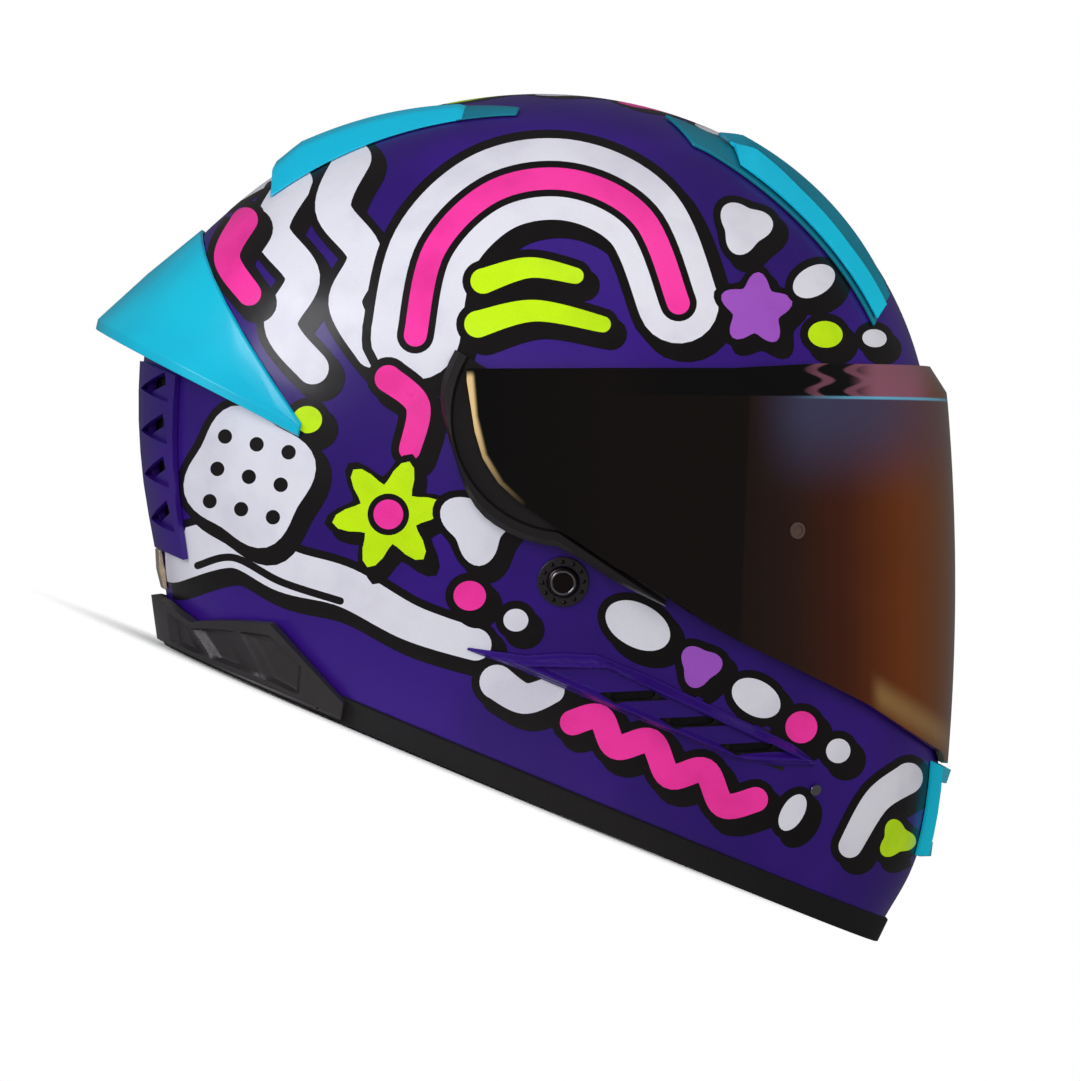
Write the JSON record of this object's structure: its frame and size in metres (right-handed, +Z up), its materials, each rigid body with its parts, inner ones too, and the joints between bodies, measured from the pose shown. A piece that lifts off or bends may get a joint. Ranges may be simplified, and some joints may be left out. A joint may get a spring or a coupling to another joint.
{
  "type": "full face motorcycle helmet",
  "caption": "Full face motorcycle helmet with hinged mirrored visor, sliding crown vents, chin vent shutter, rear spoiler, removable lining and ratchet chin strap.",
  "frame": {"origin": "centre of the bounding box in plan, at the height of the rim's flat underside", "axes": "+X towards the helmet's front, +Y towards the wearer's left, +Z up when it stands on its rim"},
  "size_m": [0.3705, 0.263, 0.2598],
  "materials": {
    "shell_purple": "satin lacquer over graphics",
    "vent_cyan": "satin",
    "vent_teal": "matt",
    "visor_tint": "mirror coated",
    "clear_insert": "clear",
    "black_plastic": "matt",
    "black_rubber": "matt",
    "liner_foam": "matt",
    "pad_fabric": "knit",
    "webbing": "woven",
    "reflector": "gloss",
    "steel": "satin",
    "lever_red": "satin",
    "mesh_grey": "matt"
  },
  "bodies": {
    "helmet": {"outer_shell": "shell_purple", "impact_liner": "liner_foam", "chin_bar_liner": "liner_foam", "rim_trim": "black_rubber", "rear_diffuser": "black_plastic", "eye_port_gasket": "black_rubber", "visor_base_plate_right": "black_plastic", "visor_base_plate_left": "black_plastic", "base_plate_screws": "steel", "rear_spoiler": "vent_cyan", "rear_top_vent_right": "vent_cyan", "rear_top_vent_left": "vent_cyan", "front_vent_base_right": "vent_teal", "front_vent_base_left": "vent_teal", "chin_vent_frame": "vent_cyan", "chin_vent_mesh": "mesh_grey", "side_vent_cover_right": "shell_purple", "side_vent_cover_left": "shell_purple", "side_vent_mesh_right": "mesh_grey", "side_vent_mesh_left": "mesh_grey", "side_vent_screws": "steel", "rear_exhaust_grille_right": "shell_purple", "rear_exhaust_grille_left": "shell_purple", "rear_reflector": "reflector", "crown_pad": "pad_fabric", "cheek_pad_right": "pad_fabric", "cheek_pad_left": "pad_fabric", "cheek_pad_snaps": "black_plastic", "neck_roll": "pad_fabric", "chin_curtain": "pad_fabric", "breath_guard": "black_rubber", "strap_rivets": "steel", "strap_rivet_washers": "black_plastic", "strap_anchor_plates": "steel", "chin_strap_right": "webbing", "chin_strap_left": "webbing", "buckle_body": "steel", "buckle_lever_pin": "steel", "ratchet_tongue": "black_plastic"},
    "visor_unit": {"visor": "visor_tint", "anti_fog_insert": "clear_insert", "insert_pins": "black_plastic", "visor_pivot_ring_right": "black_plastic", "visor_pivot_ring_left": "black_plastic"},
    "right_vent_slider": {"front_vent_slider_right": "vent_cyan"},
    "left_vent_slider": {"front_vent_slider_left": "vent_cyan"},
    "chin_shutter": {"chin_vent_shutter": "black_plastic"},
    "strap_release": {"buckle_lever": "lever_red"}
  },
  "joints": [
    {"name": "visor_hinge", "type": "hinge", "parent": "helmet", "child": "visor_unit", "pos_m": [-0.004, 0, 0.137], "axis": [0, -1, 0], "range_deg": [0, 56]},
    {"name": "right_vent_slide", "type": "hinge", "parent": "helmet", "child": "right_vent_slider", "pos_m": [0.00155, -0.04, 0.1233], "axis": [0, -1, 0], "range_deg": [0, 4.2]},
    {"name": "left_vent_slide", "type": "hinge", "parent": "helmet", "child": "left_vent_slider", "pos_m": [0.00155, 0.04, 0.1233], "axis": [0, -1, 0], "range_deg": [0, 4.2]},
    {"name": "chin_shutter_slide", "type": "slide", "parent": "helmet", "child": "chin_shutter", "axis": [-0.12, 0, 0.9928], "range_m": [0, 0.006]},
    {"name": "strap_lever", "type": "hinge", "parent": "helmet", "child": "strap_release", "pos_m": [0.018, 0.011, 0.0265], "axis": [-1, 0, 0], "range_deg": [0, 35], "stiffness_Nm_per_rad": 0.02, "springref_deg": -11.46}
  ]
}
